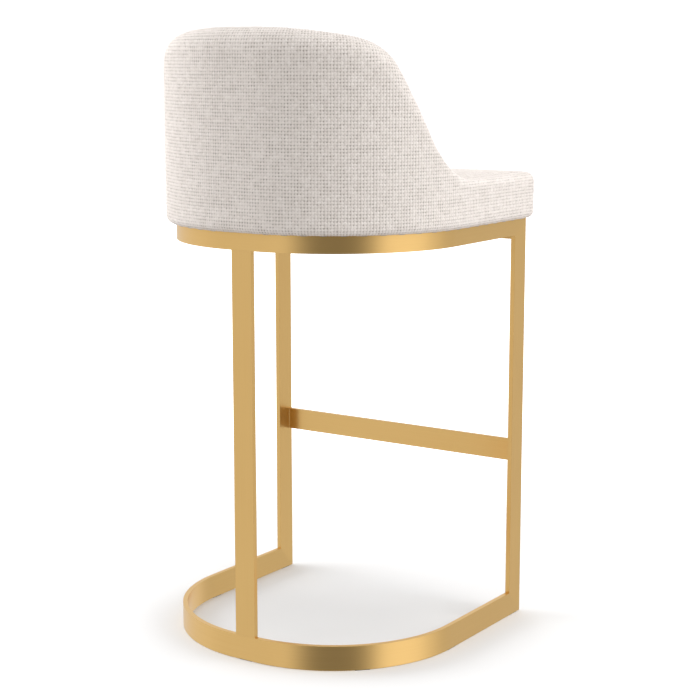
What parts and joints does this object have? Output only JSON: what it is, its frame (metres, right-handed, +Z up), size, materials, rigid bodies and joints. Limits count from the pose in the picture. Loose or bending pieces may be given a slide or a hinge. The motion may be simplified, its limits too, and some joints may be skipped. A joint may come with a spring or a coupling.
{
  "type": "bar stool with footrest",
  "caption": "Bar stool with a flat-bar metal frame, U-shaped base and top rings, a footrest bar and a rounded upholstered tub seat with sloping arms.",
  "frame": {"origin": "on the floor, under the middle of the frame's plan, which is also the middle of the bounding box", "axes": "+Z up, the sitter faces -Y, +X is the sitter's left"},
  "size_m": [0.533, 0.503, 1.01],
  "materials": {
    "brushed_brass": "satin",
    "zinc_steel": "satin",
    "plywood": "matte",
    "foam": "matte",
    "wadding": "matte",
    "cream_weave": "matte",
    "black_cloth": "matte",
    "glide_nylon": "matte"
  },
  "bodies": {
    "root": {"base_ring": "brushed_brass", "top_ring": "brushed_brass", "front_leg_left": "brushed_brass", "front_leg_right": "brushed_brass", "rear_leg": "brushed_brass", "footrest_bar": "brushed_brass", "front_rail": "brushed_brass", "corner_welds": "brushed_brass", "floor_glides": "glide_nylon", "mounting_lugs": "brushed_brass", "lug_washers": "zinc_steel", "lug_screws": "zinc_steel", "tee_nuts": "zinc_steel", "seat_board": "plywood", "front_apron": "plywood", "apron_screws": "zinc_steel", "back_shell": "plywood", "shell_brackets": "zinc_steel", "board_screws": "zinc_steel", "shell_screws": "zinc_steel", "seat_foam": "foam", "seat_topper": "foam", "back_padding": "foam", "edge_roll": "foam", "outer_wadding": "wadding", "outer_cover": "cream_weave", "crest_cover": "cream_weave", "inner_back_cover": "cream_weave", "seat_cover": "cream_weave", "dust_cover": "black_cloth", "dust_cover_staples": "zinc_steel", "hem_staples": "zinc_steel"}
  },
  "joints": []
}
